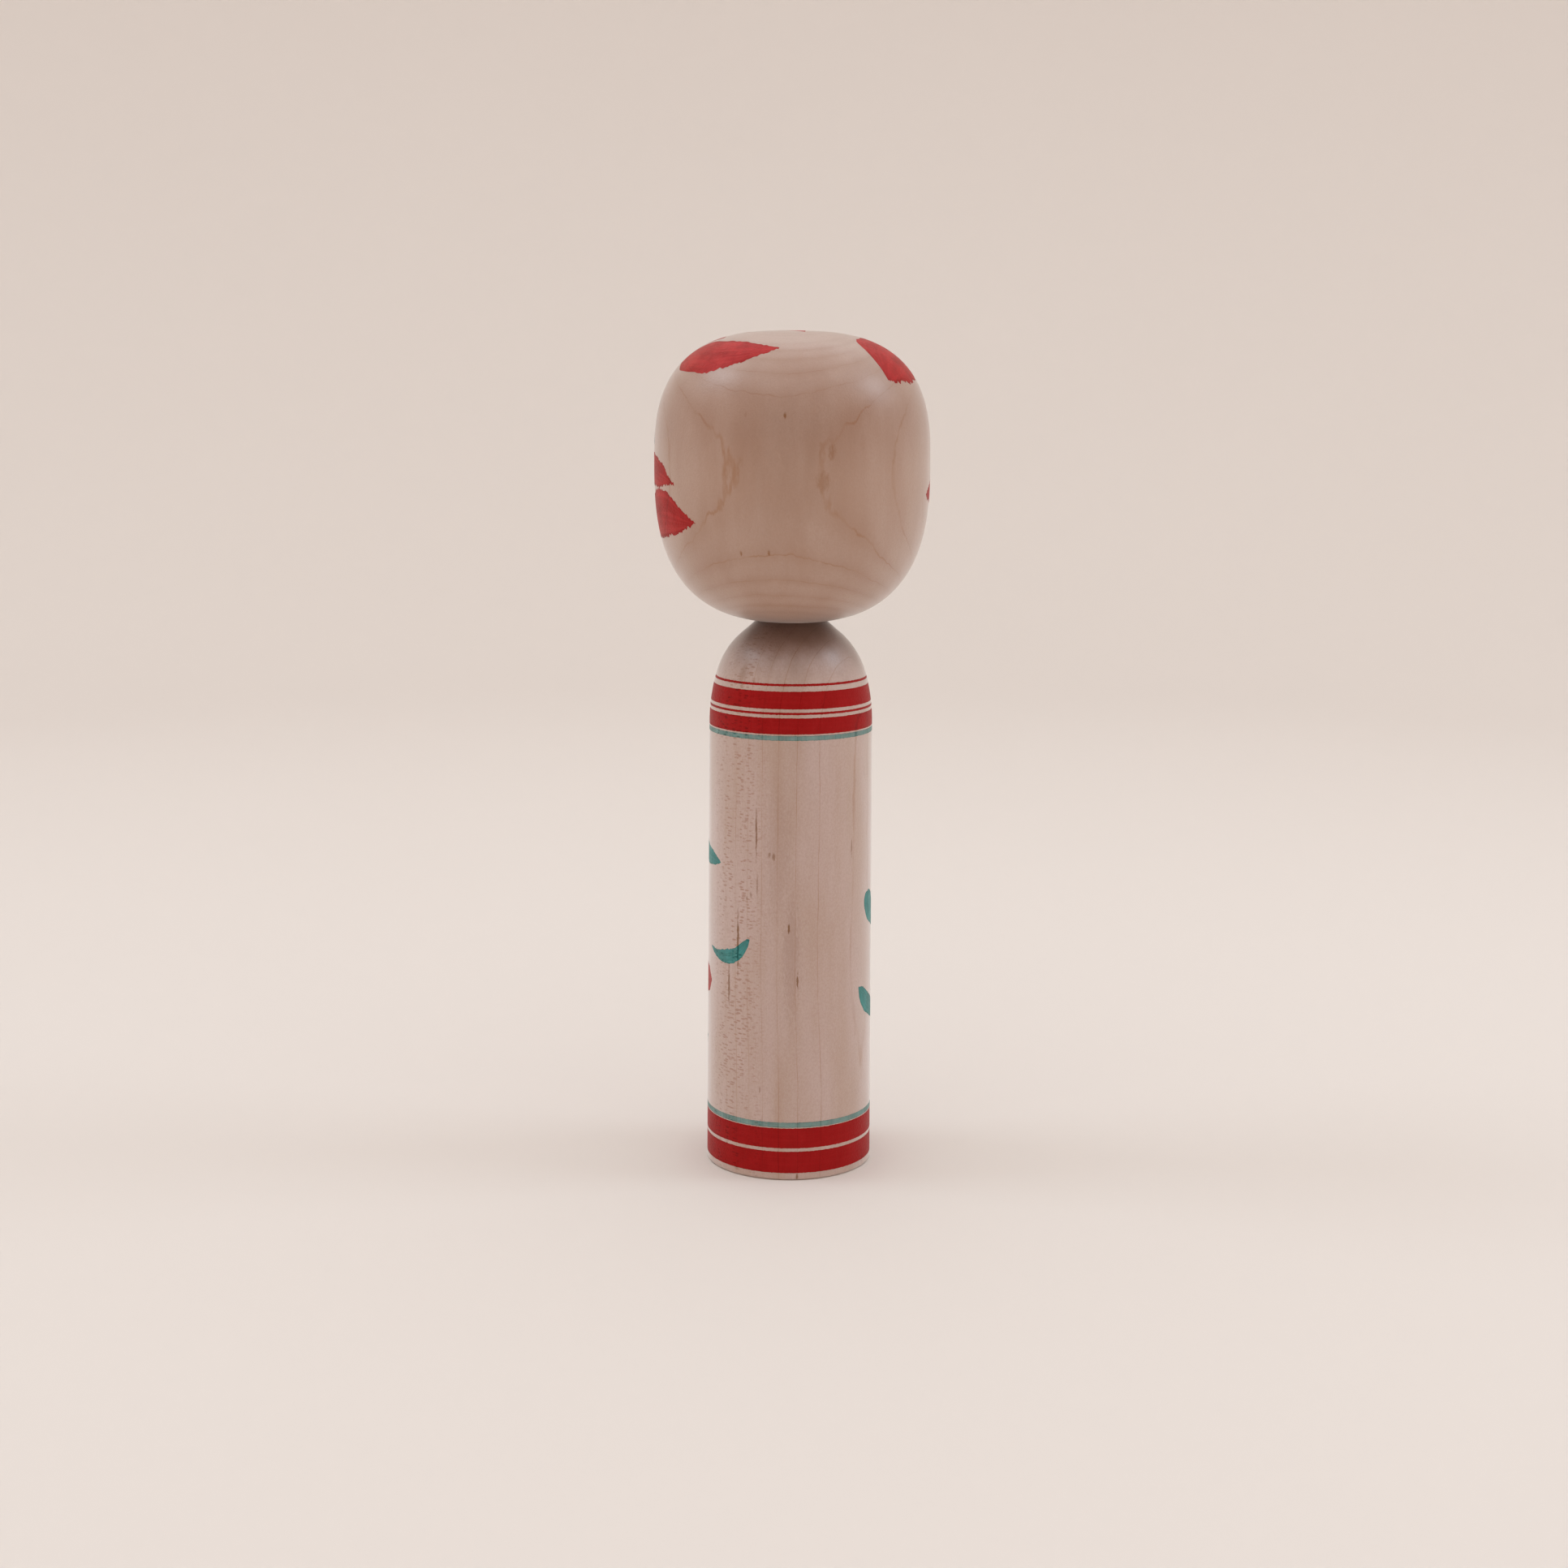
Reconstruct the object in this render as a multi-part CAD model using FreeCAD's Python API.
"""Kokeshi doll: a turned wooden doll made of a body, a head and the round peg that joins them.

The doll stands on the XY plane with its axis on +Z, and its face looks along -Y. Every piece is
turned, so each one is an outline in the XZ plane that is revolved about the axis.
Sizes are in millimetres and angles in degrees.
"""
import FreeCAD, Part
import math
import os

# Driving dimensions
TOTAL_HEIGHT = 240.0
BODY_HEIGHT = 159.0  # the flat neck joint, where the head rests on the body

# Body
BASE_RADIUS = 24.0
SIDE_TAPER = 0.3  # lean of the body's side towards the axis
BASE_CHAMFER = 0.5
FOOT_RECESS_RADIUS = 18.0  # the foot is dished, so that the doll stands on a ring
FOOT_RECESS_DEPTH = 0.9
SHOULDER_START = 130.0  # height where the straight side ends
SHOULDER_BLEND_RADIUS = 51.0
SHOULDER_BLEND_ANGLE = 17.0  # slope of the surface where the blend ends
SHOULDER_RADIUS = 22.6
NECK_SLOPE = 49.0  # slope of the last, straight stretch up to the neck joint

# Head: two halves of a superellipse that meet at its widest place
HEAD_RADIUS = 38.9
HEAD_WIDEST = 203.0  # height of the widest place
CROWN_POWER = 2.8
CHEEK_POWER = 2.69
CHEEK_HEIGHT = 44.45  # from the widest place to where the cheeks would close on the axis
HEAD_OUTLINE_STEPS = 28

# Neck peg and the two blind holes that it sits in
PEG_RADIUS = 6.0
PEG_IN_BODY = 26.0
PEG_IN_HEAD = 22.0
PEG_CHAMFER = 0.8
TURNING_CLEARANCE = 0.05  # radial, in the head
HOLE_END_GAP = 1.5
HOLE_MOUTH_CHAMFER = 0.6

AXIS = FreeCAD.Vector(0, 0, 1)
ORIGIN = FreeCAD.Vector(0, 0, 0)
FULL_TURN = 360
LEVEL = 90  # slope of a level surface


def point(radius, height):
    """A point of an outline, in the XZ plane."""
    return FreeCAD.Vector(radius, 0, height)


def line(start, end):
    return Part.LineSegment(start, end).toShape()


def polyline(points):
    """The straight edges that join the points in order."""
    return [line(start, end) for start, end in zip(points, points[1:])]


def slope_normal(slope):
    """The outward direction of a surface that leans in by slope: 0 is upright, LEVEL is flat."""
    return point(math.cos(math.radians(slope)), math.sin(math.radians(slope)))


def tangent_arc(start, radius, slope_from, slope_to):
    """An arc from start, where the surface leans by slope_from, to where it leans by slope_to, and its end."""
    centre = start - radius * slope_normal(slope_from)
    middle = centre + radius * slope_normal((slope_from + slope_to) / 2)
    end = centre + radius * slope_normal(slope_to)
    return Part.Arc(start, middle, end).toShape(), end


def revolve(edges):
    """The solid turned from a closed outline, whose edges are in order."""
    solid = Part.Face(Part.Wire(edges)).revolve(ORIGIN, AXIS, FULL_TURN)
    if not solid.isValid():
        raise ValueError("a turned piece isn't a valid solid")
    return solid


def make_body():
    """Straight, slightly tapered side, round shoulders, a flat neck joint with a hole, and a dished foot."""
    side_foot = point(BASE_RADIUS, BASE_CHAMFER)
    side_top = point(
        BASE_RADIUS - (SHOULDER_START - BASE_CHAMFER) * math.tan(math.radians(SIDE_TAPER)),
        SHOULDER_START,
    )
    blend, blend_end = tangent_arc(side_top, SHOULDER_BLEND_RADIUS, SIDE_TAPER, SHOULDER_BLEND_ANGLE)
    shoulder, shoulder_end = tangent_arc(blend_end, SHOULDER_RADIUS, SHOULDER_BLEND_ANGLE, NECK_SLOPE)
    climb = BODY_HEIGHT - shoulder_end.z
    neck_edge = point(shoulder_end.x - climb * math.tan(math.radians(NECK_SLOPE)), BODY_HEIGHT)

    hole_floor = BODY_HEIGHT - PEG_IN_BODY - HOLE_END_GAP
    hole = polyline([
        neck_edge,
        point(PEG_RADIUS + HOLE_MOUTH_CHAMFER, BODY_HEIGHT),
        point(PEG_RADIUS, BODY_HEIGHT - HOLE_MOUTH_CHAMFER),
        point(PEG_RADIUS, hole_floor),
        point(0, hole_floor),
        point(0, FOOT_RECESS_DEPTH),
    ])
    dish_centre = point(0, FOOT_RECESS_DEPTH)
    dish_radius = (FOOT_RECESS_RADIUS ** 2 + FOOT_RECESS_DEPTH ** 2) / (2 * FOOT_RECESS_DEPTH)
    dish_slope = LEVEL - math.degrees(math.asin(FOOT_RECESS_RADIUS / dish_radius))
    dish, ring_inner = tangent_arc(dish_centre, dish_radius, LEVEL, dish_slope)
    foot = polyline([ring_inner, point(BASE_RADIUS - BASE_CHAMFER, 0), side_foot, side_top])
    return revolve([dish] + foot + [blend, shoulder, line(shoulder_end, neck_edge)] + hole)


def head_outline_point(angle):
    """A point of the head's outline, seen at this angle above the level of its widest place."""
    across = math.cos(math.radians(angle))
    up = math.sin(math.radians(angle))
    height, power = (TOTAL_HEIGHT - HEAD_WIDEST, CROWN_POWER) if up > 0 else (CHEEK_HEIGHT, CHEEK_POWER)
    reach = (abs(across / HEAD_RADIUS) ** power + abs(up / height) ** power) ** (-1 / power)
    return point(reach * across, HEAD_WIDEST + reach * up)


def make_head():
    """Squarish ball with a flat seat under it and a blind hole for the peg."""
    seat_drop = HEAD_WIDEST - BODY_HEIGHT
    seat_radius = HEAD_RADIUS * (1 - (seat_drop / CHEEK_HEIGHT) ** CHEEK_POWER) ** (1 / CHEEK_POWER)
    seat_angle = -math.degrees(math.atan2(seat_drop, seat_radius))
    step = (LEVEL - seat_angle) / HEAD_OUTLINE_STEPS
    points = [head_outline_point(LEVEL - step * i) for i in range(1, HEAD_OUTLINE_STEPS)]
    apex = point(0, TOTAL_HEIGHT)
    seat_edge = point(seat_radius, BODY_HEIGHT)
    outline = Part.BSplineCurve()
    outline.interpolate(Points=[apex] + points + [seat_edge])

    hole_radius = PEG_RADIUS + TURNING_CLEARANCE
    hole_top = BODY_HEIGHT + PEG_IN_HEAD + HOLE_END_GAP
    hole = polyline([
        seat_edge,
        point(hole_radius + HOLE_MOUTH_CHAMFER, BODY_HEIGHT),
        point(hole_radius, BODY_HEIGHT + HOLE_MOUTH_CHAMFER),
        point(hole_radius, hole_top),
        point(0, hole_top),
        apex,
    ])
    return revolve([outline.toShape()] + hole)


def make_neck_peg():
    """Round dowel with chamfered ends, tight in the body and free to turn in the head."""
    bottom = BODY_HEIGHT - PEG_IN_BODY
    top = BODY_HEIGHT + PEG_IN_HEAD
    return revolve(polyline([
        point(0, bottom),
        point(PEG_RADIUS - PEG_CHAMFER, bottom),
        point(PEG_RADIUS, bottom + PEG_CHAMFER),
        point(PEG_RADIUS, top - PEG_CHAMFER),
        point(PEG_RADIUS - PEG_CHAMFER, top),
        point(0, top),
        point(0, bottom),
    ]))


def main():
    os.makedirs("parts", exist_ok=True)
    for name, make in (("body", make_body), ("head", make_head), ("neck_peg", make_neck_peg)):
        solid = make()
        box = solid.BoundBox
        print(name, "volume %.0f mm3," % solid.Volume, "diameter %.2f," % box.XLength,
              "from %.2f to %.2f" % (box.ZMin, box.ZMax), "valid", solid.isValid())
        solid.exportStep("parts/%s.step" % name)


main()
